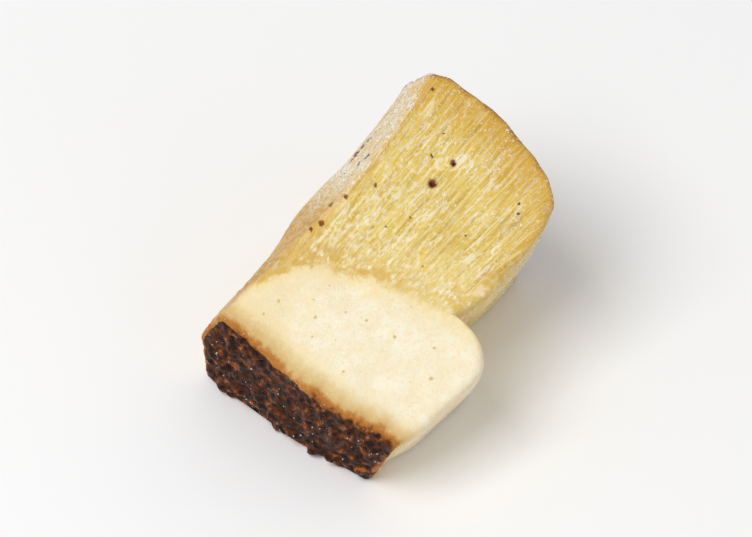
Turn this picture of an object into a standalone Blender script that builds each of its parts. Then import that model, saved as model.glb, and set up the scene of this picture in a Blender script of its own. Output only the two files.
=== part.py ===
"""One diced piece of a porcini cap, cut with a knife and frozen: brown cap skin, pale flesh and the
yellow tube layer, which grew as one and stay one solid. It lies on the cut face that is not seen.

Sizes are in millimetres, and MM turns them into metres. A place on the piece is given in three ways:
along is the way the tubes run, from the cap skin to the pores; across goes over the cut face on top,
from its left edge to its right one; and depth is 0 on that face and negative below it.
"""

import math

import bmesh
import bpy
from mathutils import Vector, noise
from mathutils.geometry import delaunay_2d_cdt

MM = 0.001

# Stance on the table
FACE_TILT = math.radians(25)
TUBE_HEADING = math.radians(49)
FACE_HEIGHT = 19.0
FACE_MIDDLE = (1.5, -5.5)

# Outline of the cut face on top, as (along, across)
LEFT_EDGE = ((-16.0, -10.0), (-5.0, -9.3), (6.0, -9.0), (14.0, -10.0), (19.0, -10.9))
FLESH_RIGHT_EDGE = ((-14.5, 13.3), (-11.5, 14.4), (-8.0, 14.8), (-4.0, 15.1))
TUBE_RIGHT_EDGE = ((0.0, 8.9), (5.0, 10.1), (11.0, 10.2), (14.0, 9.7), (17.0, 8.6))

# The three surfaces that cross the piece, as (across, along)
SKIN_LINE = ((-12.0, -16.1), (-4.0, -16.1), (4.0, -16.2), (9.0, -15.5), (14.0, -14.9))
ROOT_LINE = ((-10.0, -13.0), (-8.4, -9.5), (-6.4, -5.4), (-3.5, -4.0), (0.0, -2.4), (5.0, -0.8), (9.0, 0.6))
PORE_LINE = ((-11.0, 18.6), (-8.5, 19.3), (-3.0, 19.8), (2.0, 19.5), (6.0, 18.4), (9.0, 16.4))
SKIN_FLARE = 0.27
SKIN_CROWN = 0.0045
PORE_SLOPE = 0.16
END_WAVE = 0.5

# Walls below the face, whose bevel is given as (along, flare)
BEVEL_DEPTH = 7.0
BEVEL_FLARE = ((-16.0, 1.5), (-8.0, 2.3), (0.0, 3.6), (6.0, 3.5), (16.0, 2.9))
LEFT_UNDERCUT = 1.6
RIGHT_UNDERCUT = 0.11
SHOULDER = 4.0

# Knife edges: how much is rounded off each corner of the cross-section, and off its two ends
CORNER_CUT = (0.9, 1.0, 1.2, 1.2, 1.4)
SKIN_EDGE_RADIUS = 0.6
PORE_EDGE_RADIUS = 0.8

# Columns on the face, right wall, foot, lower left wall and bevel, and rows along the piece
COLUMNS = (44, 36, 12, 24, 16)
FOOT = 2
COLUMNS_PER_RIDGE = 4
SKIN_EDGE_STEPS = 2
FLESH_STEPS = 5
SHOULDER_STEPS = 4
TUBE_STEPS = 9
PORE_EDGE_STEPS = 2

# Relief
RIDGE_DEPTH = 0.34
ROOT_GROOVE = 0.35
PIT_PITCH = 2.3
PIT_DEPTH = 1.1
LUMP_PITCH = 1.15
LUMP_HEIGHT = 0.7
LUMP_SIZE = 2.1
CUT_WAVE = 0.34
CUT_WAVE_SIZE = 8.0

# Natural layers, each as (name, colour, roughness), and the zones of rows that lie in them
LAYERS = (
    ("brown_skin", (0.09, 0.035, 0.014, 1.0), 0.35),
    ("cream_flesh", (0.93, 0.83, 0.60, 1.0), 0.55),
    ("ochre_tubes", (0.76, 0.58, 0.25, 1.0), 0.6),
)
LAYER_OF_ZONE = {"skin edge": 0, "flesh": 1, "shoulder": 1, "root": 2, "tubes": 2, "pore edge": 2}
SHARP_ANGLE = math.radians(40)

UPHILL = Vector((0.0, math.cos(FACE_TILT), math.sin(FACE_TILT)))
ALONG = Vector((math.cos(TUBE_HEADING), 0.0, 0.0)) + UPHILL * math.sin(TUBE_HEADING)
ACROSS = Vector((math.sin(TUBE_HEADING), 0.0, 0.0)) - UPHILL * math.cos(TUBE_HEADING)
OUT = Vector((0.0, -math.sin(FACE_TILT), math.cos(FACE_TILT)))
ORIGIN = Vector((*FACE_MIDDLE, FACE_HEIGHT))


def world(along, across, depth):
    """The place in the world, in millimetres."""
    return ORIGIN + ALONG * along + ACROSS * across + OUT * depth


def smooth_line(points, x):
    """Height at x of a smooth curve through the points, held level past both ends."""
    if x <= points[0][0]:
        return points[0][1]
    if x >= points[-1][0]:
        return points[-1][1]
    last = len(points) - 1
    i = max(k for k in range(last) if points[k][0] <= x)

    def slope(k):
        before, after = points[max(k - 1, 0)], points[min(k + 1, last)]
        return (after[1] - before[1]) / (after[0] - before[0])

    (x0, y0), (x1, y1) = points[i], points[i + 1]
    t = (x - x0) / (x1 - x0)
    start = y0 * (1 + 2 * t) * (1 - t) ** 2 + slope(i) * (x1 - x0) * t * (1 - t) ** 2
    end = y1 * t * t * (3 - 2 * t) + slope(i + 1) * (x1 - x0) * t * t * (t - 1)
    return start + end


def foot_depth(along, across):
    """The depth at which the piece meets the table below this place."""
    return -world(along, across, 0.0).z / OUT.z


def skin_along(across, depth):
    """The cap skin: convex, and flaring outwards below the cut face."""
    return smooth_line(SKIN_LINE, across) + SKIN_FLARE * depth + SKIN_CROWN * depth * depth


def root_along(across, depth):
    """Where the tubes grow from the flesh."""
    return smooth_line(ROOT_LINE, across) + END_WAVE * noise.noise(Vector((across, depth, 3.0)) / 6.0)


def pore_along(across, depth):
    """The surface where the tubes open, a little wavy and rounded over at its right side."""
    wave = END_WAVE * noise.noise(Vector((across, depth, 11.0)) / 5.0)
    return smooth_line(PORE_LINE, across - RIGHT_UNDERCUT * depth) + PORE_SLOPE * depth + wave


def cut_wave(along, across, depth):
    """How far a cut wall stands off its flat, which fades out towards the table."""
    place = Vector((along, across, depth)) / CUT_WAVE_SIZE
    clear = min(1.0, max(0.0, world(along, across, depth).z / 3.0))
    return CUT_WAVE * clear * (noise.noise(place) + 0.45 * noise.noise(place * 2.6 + Vector((7.0, 1.0, 4.0))))


def section_corners(along, right, inset, foot_inset):
    """Corners of the cross-section, moved in: face left and right, foot right and left, bevel's end."""
    left = smooth_line(LEFT_EDGE, along)
    outer = left - smooth_line(BEVEL_FLARE, along)
    inner = outer + LEFT_UNDERCUT
    low_right = right + RIGHT_UNDERCUT * foot_depth(along, right)
    corners = [
        Vector((left, 0.0)),
        Vector((right, 0.0)),
        Vector((low_right, foot_depth(along, low_right))),
        Vector((inner, foot_depth(along, inner))),
        Vector((outer, -BEVEL_DEPTH)),
    ]
    ways = [(corners[(i + 1) % len(corners)] - corner).normalized() for i, corner in enumerate(corners)]
    moved = []
    for i, corner in enumerate(corners):
        before, after = ways[i - 1], ways[i]
        turn = before.cross(after)
        inset_before = foot_inset if (i - 1) % len(corners) == FOOT else inset
        inset_after = foot_inset if i == FOOT else inset
        moved.append(corner + before * (inset_after / turn) - after * (inset_before / turn))
    return moved


def column_plan():
    """Columns round the cross-section, as (side, share of the side, share of the corner after it)."""
    plan = []
    for side, count in enumerate(COLUMNS):
        plan += [(side, k / count, 0.0) for k in range(count + 1)]
        plan += [(side, 1.0, k / 3) for k in (1, 2)]
    return plan


COLUMN_PLAN = column_plan()


def section_point(corners, column):
    """Where one column passes the cross-section, as (across, depth)."""
    side, share, bend = COLUMN_PLAN[column % len(COLUMN_PLAN)]
    here, there, beyond = (corners[(side + k) % len(corners)] for k in range(3))
    way = (there - here).normalized()
    cut = CORNER_CUT[(side + 1) % len(corners)]
    start, end = here + way * CORNER_CUT[side], there - way * cut
    onward = there + (beyond - there).normalized() * cut
    point = start.lerp(end, share)
    return point.lerp(there, bend).lerp(there.lerp(onward, bend), bend)


def row_place(zone, share, across, depth):
    """(along, right edge, inset, foot inset, ridge depth) of one row where it passes this place."""
    skin = skin_along(across, depth)
    root = root_along(across, depth)
    pores = pore_along(across, depth)
    neck = TUBE_RIGHT_EDGE[0][1]
    turn = share * math.pi / 2
    flesh_end = root - SHOULDER * min(1.0, (root - skin) / (2 * SHOULDER))
    if zone == "skin edge":
        along = skin + SKIN_EDGE_RADIUS * (1 - math.cos(turn))
        inset = SKIN_EDGE_RADIUS * (1 - math.sin(turn))
        return along, smooth_line(FLESH_RIGHT_EDGE, along), inset, inset, 0.0
    if zone == "flesh":
        start = skin + SKIN_EDGE_RADIUS
        along = start + (flesh_end - start) * share
        return along, smooth_line(FLESH_RIGHT_EDGE, along), 0.0, 0.0, 0.0
    if zone == "shoulder":
        along = flesh_end + (root - flesh_end) * math.sin(turn)
        return along, neck + (FLESH_RIGHT_EDGE[-1][1] - neck) * math.cos(turn), 0.0, 0.0, 0.0
    if zone == "root":
        return root, neck, ROOT_GROOVE, 0.0, 0.0
    if zone == "tubes":
        along = root + (pores - PORE_EDGE_RADIUS - root) * share
        return along, smooth_line(TUBE_RIGHT_EDGE, along), 0.0, 0.0, RIDGE_DEPTH
    along = pores - PORE_EDGE_RADIUS * (1 - math.sin(turn))
    inset = PORE_EDGE_RADIUS * (1 - math.cos(turn))
    return along, smooth_line(TUBE_RIGHT_EDGE, along), inset, inset, RIDGE_DEPTH * (1 - share)


def row_plan():
    """Rows from the cap skin to the pores, as (zone, share of the zone)."""
    rows = [("skin edge", k / SKIN_EDGE_STEPS) for k in range(SKIN_EDGE_STEPS)]
    rows += [("flesh", k / FLESH_STEPS) for k in range(FLESH_STEPS)]
    rows += [("shoulder", k / SHOULDER_STEPS) for k in range(SHOULDER_STEPS)]
    rows += [("root", 0.0)]
    rows += [("tubes", (k + 1) / TUBE_STEPS) for k in range(TUBE_STEPS)]
    rows += [("pore edge", (k + 1) / PORE_EDGE_STEPS) for k in range(PORE_EDGE_STEPS)]
    return rows


def wall_point(zone, share, column):
    """The place of one column on one row, as (along, across, depth)."""
    across, depth = 0.0, -BEVEL_DEPTH
    for _ in range(3):
        along, right, inset, foot_inset, ridge = row_place(zone, share, across, depth)
        corners = section_corners(along, right, inset, foot_inset)
        across, depth = section_point(corners, column)
    side, part, bend = COLUMN_PLAN[column]
    if side == FOOT:
        return along, across, depth
    step = section_point(corners, column + 1) - section_point(corners, column - 1)
    outward = Vector((-step.y, step.x)).normalized()
    turn = 2 * math.pi * part * COLUMNS[side] / COLUMNS_PER_RIDGE
    groove = 0.0 if bend else ridge * (0.5 - 0.5 * math.cos(turn))
    shift = cut_wave(along, across, depth) - groove
    return along, across + outward.x * shift, depth + outward.y * shift


def inside(outline, across, depth):
    """Whether the place lies inside the closed outline of (across, depth)."""
    crossings = 0
    for (x0, y0), (x1, y1) in zip(outline, outline[1:] + outline[:1]):
        if (y0 > depth) != (y1 > depth) and across < x0 + (depth - y0) * (x1 - x0) / (y1 - y0):
            crossings += 1
    return crossings % 2 == 1


def clear_of(outline, across, depth, gap):
    """Whether the place lies inside the outline and at least the gap from its points."""
    near = min((x - across) ** 2 + (y - depth) ** 2 for x, y in outline)
    return near > gap * gap and inside(outline, across, depth)


def lattice(outline, pitch):
    """Corners of a triangle pattern over the outline's box, as (across, depth, row, place in the row)."""
    low = [min(point[k] for point in outline) for k in (0, 1)]
    high = [max(point[k] for point in outline) for k in (0, 1)]
    rise = pitch * math.sqrt(3) / 2
    for row in range(int((high[1] - low[1]) / rise) + 1):
        for step in range(int((high[0] - low[0]) / pitch) + 1):
            yield low[0] + (step + row % 2 / 2) * pitch, low[1] + row * rise, row, step


def pore_points(outline):
    """Pits of the tubes' mouths: a low point in the middle of each cell, and its raised corners."""
    points = []
    pitch = PIT_PITCH / math.sqrt(3)
    for across, depth, row, step in lattice(outline, pitch):
        pit = (step - row // 2 - row) % 3 == 0
        sway = Vector((across, depth, 5.0)) / 1.7
        across += 0.2 * noise.noise(sway)
        depth += 0.2 * noise.noise(sway + Vector((9.0, 2.0, 0.0)))
        if clear_of(outline, across, depth, 0.55 * pitch):
            along = pore_along(across, depth) - (PIT_DEPTH if pit else 0.0)
            points.append((along, across, depth))
    return points


def skin_points(outline):
    """The wrinkled, lumpy cap skin."""
    points = []
    for across, depth, _, _ in lattice(outline, LUMP_PITCH):
        if clear_of(outline, across, depth, 0.6 * LUMP_PITCH):
            lump = abs(noise.noise(Vector((across, depth, 1.0)) / LUMP_SIZE)) * 2 - 0.35
            points.append((skin_along(across, depth) - LUMP_HEIGHT * lump, across, depth))
    return points


def close_end(mesh, ring, points, layer):
    """Closes one end of the walls over the given points.

    Args:
        mesh: The bmesh that holds the walls.
        ring: The end's places (along, across, depth) and its vertices, in order.
        points: Places (along, across, depth) inside the end.
        layer: The number of the natural layer that this end belongs to.
    """
    places, vertices = ring
    flat = [Vector(place[1:]) for place in places + points]
    loop = [(i, (i + 1) % len(places)) for i in range(len(places))]
    _, _, triangles, sources, _, _ = delaunay_2d_cdt(flat, loop, [], 1, 1e-6)
    corners = vertices + [mesh.verts.new(world(*point) * MM) for point in points]
    for triangle in triangles:
        face = mesh.faces.new([corners[sources[k][0]] for k in triangle])
        face.material_index = layer


def build_mesh():
    """The whole piece as one closed mesh, with a material number on each natural layer."""
    mesh = bmesh.new()
    rows = []
    plan = row_plan()
    for zone, share in plan:
        places = [wall_point(zone, share, column) for column in range(len(COLUMN_PLAN))]
        vertices = [mesh.verts.new(world(*place) * MM) for place in places]
        rows.append((places, vertices))
    for (zone, _), (_, row), (_, next_row) in zip(plan, rows, rows[1:]):
        for i in range(len(row)):
            k = (i + 1) % len(row)
            face = mesh.faces.new((row[i], row[k], next_row[k], next_row[i]))
            face.material_index = LAYER_OF_ZONE[zone]
    first, last = ([place[1:] for place in rows[end][0]] for end in (0, -1))
    close_end(mesh, rows[0], skin_points(first), LAYER_OF_ZONE["skin edge"])
    close_end(mesh, rows[-1], pore_points(last), LAYER_OF_ZONE["pore edge"])
    bmesh.ops.recalc_face_normals(mesh, faces=mesh.faces)
    return mesh


def layer_material(name, colour, roughness):
    """A plain Principled material."""
    material = bpy.data.materials.new(name)
    material.use_nodes = True
    shader = material.node_tree.nodes["Principled BSDF"]
    shader.inputs["Base Color"].default_value = colour
    shader.inputs["Roughness"].default_value = roughness
    return material


def main():
    """Makes the piece, with its three natural layers in their own colours."""
    for old in list(bpy.data.objects):
        bpy.data.objects.remove(old, do_unlink=True)
    mesh = build_mesh()
    data = bpy.data.meshes.new("porcini_piece")
    mesh.to_mesh(data)
    mesh.free()
    for layer in LAYERS:
        data.materials.append(layer_material(*layer))
    data.shade_smooth()
    data.set_sharp_from_angle(angle=SHARP_ANGLE)
    piece = bpy.data.objects.new("porcini_piece", data)
    bpy.context.scene.collection.objects.link(piece)


main()
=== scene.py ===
"""Looks of one diced, frozen piece of a porcini cap, lying on a hidden cut face.

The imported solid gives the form. It is made again here at a fine scale, with the opened tubes, the pores,
the wrinkled skin, the rounded knife edges and the frost that the solid is too coarse for.

Sizes are in millimetres, and MM turns them into metres. A place on the piece is (along, across, depth),
and arrays of places have these on their first axis. Along is the way the tubes run, from the cap skin to
the pores; across goes over the cut face on top, from its left edge to its right one; and depth is 0 on
that face and negative below it. Girth goes round the piece, and is 0 in the middle of that face.
"""

import logging
import math
from collections.abc import Callable
from dataclasses import dataclass, field
from enum import Enum
from functools import cached_property, reduce

import bpy
import numpy as np
from bpy.types import ID, Material, Mesh, Node, NodeOutputs, NodeSocket, Object
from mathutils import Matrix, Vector, noise
from mathutils.geometry import delaunay_2d_cdt


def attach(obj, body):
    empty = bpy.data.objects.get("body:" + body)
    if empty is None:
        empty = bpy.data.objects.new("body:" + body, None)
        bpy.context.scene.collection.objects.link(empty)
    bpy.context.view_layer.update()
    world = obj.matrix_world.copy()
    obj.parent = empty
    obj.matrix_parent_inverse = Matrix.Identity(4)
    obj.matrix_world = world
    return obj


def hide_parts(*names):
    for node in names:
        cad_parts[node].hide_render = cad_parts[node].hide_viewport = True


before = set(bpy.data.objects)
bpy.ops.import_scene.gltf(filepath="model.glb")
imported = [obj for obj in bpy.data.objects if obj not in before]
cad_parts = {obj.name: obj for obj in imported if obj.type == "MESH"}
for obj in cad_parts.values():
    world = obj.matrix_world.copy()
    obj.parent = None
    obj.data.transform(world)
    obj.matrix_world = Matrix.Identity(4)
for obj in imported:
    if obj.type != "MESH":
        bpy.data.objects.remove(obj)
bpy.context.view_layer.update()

MM = 0.001
NODE = "porcini_piece"
MAPS = {  # each field of the mesh, and what its three parts hold
    "fibre": ("along", "girth", "none"),
    "layers": ("from_skin", "from_root", "from_pores"),
    "opened": ("tube", "dome", "hole"),
    "cover": ("frost", "dry", "none"),
}

Array = np.ndarray
Line = tuple[tuple[float, float], ...]
Place = tuple[float, float, float]
Spots = tuple[Place, ...]  # each spot's place along, its place across and its radius
Ripples = tuple[Place, ...]  # each layer's height, the size of its lumps and the number of its pattern
Pair = tuple[float, float]  # two limits, or a noise's size and its detail or reach
Colour = tuple[float, float, float, float]
Socket = NodeSocket
Value = Socket | float | tuple[float, ...]
Step = tuple[str | float, ...]  # a map's name, then a smooth step's low and high and its results there
Masks = tuple[tuple[str | Step, ...], ...]  # each map's name, and the steps that it is the product of
Coats = tuple[tuple[Colour | Step, ...], ...]  # each colour, and the steps whose product is its share
Clouds = tuple[tuple[str | float, ...], ...]  # each noise's name, size, detail, and pace along the tubes

log = logging.getLogger("porcini")


class Zone(Enum):
    """Stretches of the piece from its skin to its pores."""

    SKIN_EDGE = 0
    FLESH = 1
    SHOULDER = 2
    ROOT = 3
    TUBES = 4
    PORE_EDGE = 5


class Side(Enum):
    """Walls round the piece, in the order of its columns."""

    FACE = 0
    RIGHT = 1
    FOOT = 2
    LOWER_LEFT = 3
    BEVEL = 4


def srgb(*parts: float) -> Colour:
    """Red, green and blue given as 0 to 255, as the linear colour that a shader takes."""
    linear = (part / 255 / 12.92 if part < 10.3 else ((part / 255 + 0.055) / 1.055) ** 2.4 for part in parts)
    return (*linear, 1.0)


def smooth_line(points: Line, x: Array) -> Array:
    """A smooth curve through points, held level past both ends.

    Args:
        points: The points as (x, height), by rising x.
        x: Where to read it.

    Returns:
        The heights there.
    """
    xs, ys = np.array(points).T
    wide_xs, wide_ys = np.pad(xs, 1, "edge"), np.pad(ys, 1, "edge")
    slopes = (wide_ys[2:] - wide_ys[:-2]) / (wide_xs[2:] - wide_xs[:-2])
    x = np.clip(x, xs[0], xs[-1])
    i = np.clip(np.searchsorted(xs, x, side="right") - 1, 0, len(xs) - 2)
    run = xs[i + 1] - xs[i]
    t = (x - xs[i]) / run
    start = ys[i] * (1 + 2 * t) * (1 - t) ** 2 + slopes[i] * run * t * (1 - t) ** 2
    end = ys[i + 1] * t * t * (3 - 2 * t) + slopes[i + 1] * run * t * t * (t - 1)
    return start + end


def ease(x: Array, low: float, high: float) -> Array:
    """A smooth step from 0 at low to 1 at high."""
    t = np.clip((x - low) / (high - low), 0.0, 1.0)
    return t * t * (3 - 2 * t)


def sample(read: Callable[[list[float]], float], size: float, *parts: Array | float) -> Array:
    """What a noise of a size says at three coordinates. A plain number as the third picks a pattern."""
    places = np.stack(np.broadcast_arrays(*parts), axis=-1) / size
    return np.reshape([read(place) for place in places.reshape(-1, 3).tolist()], places.shape[:-1])


def lumps(size: float, *parts: Array | float) -> Array:
    """Smooth noise from about -1 to 1."""
    return sample(noise.noise, size, *parts)


def ripples(layers: Ripples, *parts: Array) -> Array:
    """Layers of smooth noise over two coordinates, added up."""
    return sum(height * lumps(size, *parts, pattern) for height, size, pattern in layers)


def from_wall(place: list[float]) -> float:
    """How much nearer its cell's centre is than the next one. It is 0 on the walls between cells."""
    near, after = noise.voronoi(place)[0][:2]
    return after - near


def add_object(name: str, data: ID) -> Object:
    """A new object in the scene, for a mesh, a light or a camera."""
    bpy.context.scene.collection.objects.link(thing := bpy.data.objects.new(name, data))
    return thing


def add_mesh(name: str, points: Array, faces: list[list[int]]) -> Object:
    """A new, smoothly shaded mesh object in the scene.

    Args:
        name: Its name.
        points: Its points in metres.
        faces: Each face's point numbers.

    Returns:
        The object.
    """
    mesh = bpy.data.meshes.new(name)
    mesh.from_pydata(points.tolist(), [], faces)
    mesh.shade_smooth()
    return add_object(name, mesh)


@dataclass(frozen=True)
class Form:
    """The form of the piece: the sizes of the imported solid, and its knife edges as they really are."""

    face_tilt: float = math.radians(25)
    tube_heading: float = math.radians(49)
    face_middle: Place = (1.5, -5.5, 19.0)
    left_edge: Line = ((-16.0, -10.0), (-5.0, -9.3), (6.0, -9.0), (14.0, -10.0), (19.0, -10.9))
    flesh_right: Line = ((-14.5, 13.3), (-11.5, 14.4), (-8.0, 14.8), (-4.0, 15.1))
    tube_right: Line = ((0.0, 8.9), (5.0, 10.1), (11.0, 10.3), (14.0, 9.9), (17.0, 8.9))
    skin_line: Line = ((-12.0, -16.1), (-4.0, -16.1), (4.0, -16.2), (9.0, -15.5), (14.0, -14.9))
    root_line: Line = (
        (-10.0, -13.0), (-8.4, -9.5), (-6.4, -5.4), (-3.5, -4.0), (0.0, -2.4), (5.0, -0.8), (9.0, 0.6),
    )
    pore_line: Line = ((-11.0, 18.9), (-8.5, 19.7), (-3.0, 20.0), (2.0, 19.6), (6.0, 18.6), (9.0, 16.8))
    bevel_flare: Line = ((-16.0, 1.5), (-8.0, 2.3), (0.0, 3.6), (6.0, 3.5), (16.0, 2.9))
    skin_flare: float = 0.27
    skin_crown: float = 0.0045
    pore_slope: float = 0.16
    bevel_depth: float = 7.0
    left_undercut: float = 1.6
    right_undercut: float = 0.11
    shoulder: float = 4.0
    ledge_lean: float = 0.15
    corner_cut: tuple[float, ...] = (0.5, 1.2, 0.8, 0.8, 1.3)
    skin_edge: float = 0.55
    pore_edge: float = 0.5
    cut_wave: float = 0.34
    cut_wave_size: float = 8.0
    fine_wave: float = 0.45
    fine_wave_scale: float = 2.6
    fine_wave_shift: Place = (7.0, 1.0, 4.0)
    wave_clearance: float = 3.0
    skin_fray: Ripples = ((0.22, 1.3, 8.0), (0.1, 0.5, 2.0))
    neck_wave: Ripples = ((0.5, 6.0, 3.0),)
    root_fray: Ripples = ((0.2, 1.1, 6.0), (0.14, 0.45, 1.0))
    root_wander: Ripples = ((0.6, 2.6, 9.0),)
    wander_depth: Pair = (0.5, 3.0)
    pore_wave: Ripples = ((0.5, 5.0, 11.0), (0.16, 1.9, 4.0))

    @property
    def axes(self) -> tuple[Array, Array, Array]:
        """Directions in the world of along, across and depth.

        Returns:
            Their unit vectors.
        """
        sin_tilt, cos_tilt = math.sin(self.face_tilt), math.cos(self.face_tilt)
        sin_way, cos_way = math.sin(self.tube_heading), math.cos(self.tube_heading)
        along = np.array((cos_way, cos_tilt * sin_way, sin_tilt * sin_way))
        across = np.array((sin_way, -cos_tilt * cos_way, -sin_tilt * cos_way))
        return along, across, np.array((0.0, -sin_tilt, cos_tilt))

    def world(self, places: Array) -> Array:
        """Places in the world, with x, y and z on the last axis."""
        return self.face_middle + sum(part[..., None] * way for part, way in zip(places, self.axes))

    def above_table(self, places: Array) -> Array:
        """Heights above the table."""
        return self.world(places)[..., 2]

    def foot_depth(self, along: Array, across: Array) -> Array:
        """Depths at which the piece meets the table."""
        return -self.above_table((along, across, np.zeros_like(along))) / self.axes[2][2]

    def skin(self, across: Array, depth: Array) -> Array:
        """Where the cap skin is: convex, and flaring outwards below the cut face."""
        bend = self.skin_flare * depth + self.skin_crown * depth * depth
        return smooth_line(self.skin_line, across) + bend + ripples(self.skin_fray, across, depth)

    def neck(self, across: Array, depth: Array) -> Array:
        """Where the shoulder ends, along the calm middle of the tubes' roots."""
        return smooth_line(self.root_line, across) + ripples(self.neck_wave, across, depth)

    def root(self, across: Array, depth: Array) -> Array:
        """Where the tubes grow from the flesh. Below the cut face this line wanders more."""
        below = ripples(self.root_wander, across, depth) * ease(-depth, *self.wander_depth)
        return self.neck(across, depth) + ripples(self.root_fray, across, depth) + below

    def pores(self, across: Array, depth: Array) -> Array:
        """Where the tubes open, a little wavy and rounded over at the right side."""
        line = smooth_line(self.pore_line, across - self.right_undercut * depth)
        return line + self.pore_slope * depth + ripples(self.pore_wave, across, depth)

    def wave(self, places: Array) -> Array:
        """How far a cut wall stands off its flat, which fades out towards the table.

        Args:
            places: Places on the wall.

        Returns:
            The distances.
        """
        clear = np.clip(self.above_table(places) / self.wave_clearance, 0.0, 1.0)
        size = self.cut_wave_size / self.fine_wave_scale
        fine = lumps(size, *(part + shift * size for part, shift in zip(places, self.fine_wave_shift)))
        return self.cut_wave * clear * (lumps(self.cut_wave_size, *places) + self.fine_wave * fine)

    def corners(self, along: Array, right: Array, inset: Array) -> Array:
        """Corners of the cross-section, clockwise from the face's left edge.

        Args:
            along: Where the section is, as (rows, columns).
            right: The cut face's right edge there.
            inset: How far the walls move in.

        Returns:
            The corners as (across and depth, corner, rows, columns).
        """
        left = smooth_line(self.left_edge, along)
        outer = left - smooth_line(self.bevel_flare, along)
        inner = outer + self.left_undercut
        low_right = right + self.right_undercut * self.foot_depth(along, right)
        feet = ((edge, self.foot_depth(along, edge)) for edge in (low_right, inner))
        places = ((left, 0.0), (right, 0.0), *feet, (outer, -self.bevel_depth))
        corners = np.stack([np.broadcast_arrays(*place) for place in places], axis=1)
        ways = np.roll(corners, -1, axis=1) - corners
        ways /= np.linalg.norm(ways, axis=0)
        back = np.roll(ways, 1, axis=1)
        return corners + (back - ways) * (inset / (back[0] * ways[1] - back[1] * ways[0]))


@dataclass(frozen=True)
class Weave:
    """How finely the piece is made: columns round it and rows from the skin to the pores."""

    columns: tuple[int, ...] = (172, 92, 12, 56, 56)
    widths: tuple[float, ...] = (19.5, 17.0, 17.0, 13.0, 8.0)
    corner_width: float = 0.9
    bends: int = 5
    fan: float = 0.01
    fan_middle: float = 8.0
    rows: tuple[int, ...] = (4, 38, 16, 1, 86, 5)
    skin_pitch: float = 0.205
    pore_pitch: float = 0.175
    jitter: float = 0.12
    jitter_seed: int = 5
    border: float = 0.6
    same_place: float = 1e-6
    rounds: int = 3  # how often the rows and their cross-sections are fitted to each other

    def column_plan(self) -> tuple[Array, Array, Array, Array]:
        """How the columns go round the piece.

        Returns:
            Their sides, shares of the side, shares of the corner after it and places round the girth.
        """
        plan, girth = [], 0.0
        for side, (count, width) in enumerate(zip(self.columns, self.widths)):
            plan += [(side, k / count, 0.0, girth + width * k / count) for k in range(count + 1)]
            girth += width
            bends = [k / (self.bends + 1) for k in range(1, self.bends + 1)]
            plan += [(side, 1.0, bend, girth + self.corner_width * bend) for bend in bends]
            girth += self.corner_width
        side, share, bend, place = np.array(plan).T
        return side.astype(int), share, bend, place

    def row_plan(self) -> tuple[Array, Array]:
        """How the rows go from the skin to the pores.

        Returns:
            Their zones and shares of the zone.
        """
        plan = []
        for zone, count in zip(Zone, self.rows):
            late = zone in (Zone.TUBES, Zone.PORE_EDGE)
            plan += [(zone.value, (k + late) / count) for k in range(count)]
        zone, share = np.array(plan).T
        return zone.astype(int), share

    def lattice(self, outline: Array, pitch: float) -> tuple[Array, Array]:
        """A jostled triangle pattern of points inside one end.

        Args:
            outline: The end's outline, as (across and depth, points).
            pitch: The pattern's pitch.

        Returns:
            Across and depth of the points, and their distance to the outline's nearest point.
        """
        low = outline.min(axis=1)
        width, height = outline.max(axis=1) - low
        rise = pitch * math.sqrt(3) / 2
        row, step = np.mgrid[: int(height / rise) + 1, : int(width / pitch) + 1]
        spots = np.stack((low[0] + (step + row % 2 / 2) * pitch, low[1] + row * rise), axis=-1).reshape(-1, 2)
        rng = np.random.default_rng(self.jitter_seed)
        spots += rng.uniform(-self.jitter, self.jitter, spots.shape) * pitch
        ways = outline[0] + 1j * outline[1] - (spots[:, 0] + 1j * spots[:, 1])[:, None]
        turns = np.angle(np.roll(ways, -1, axis=1) / ways).sum(axis=1)
        gap = np.abs(ways).min(axis=1)
        kept = (np.abs(turns) > math.pi) & (gap > self.border * pitch)
        return spots[kept].T, gap[kept]


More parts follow.
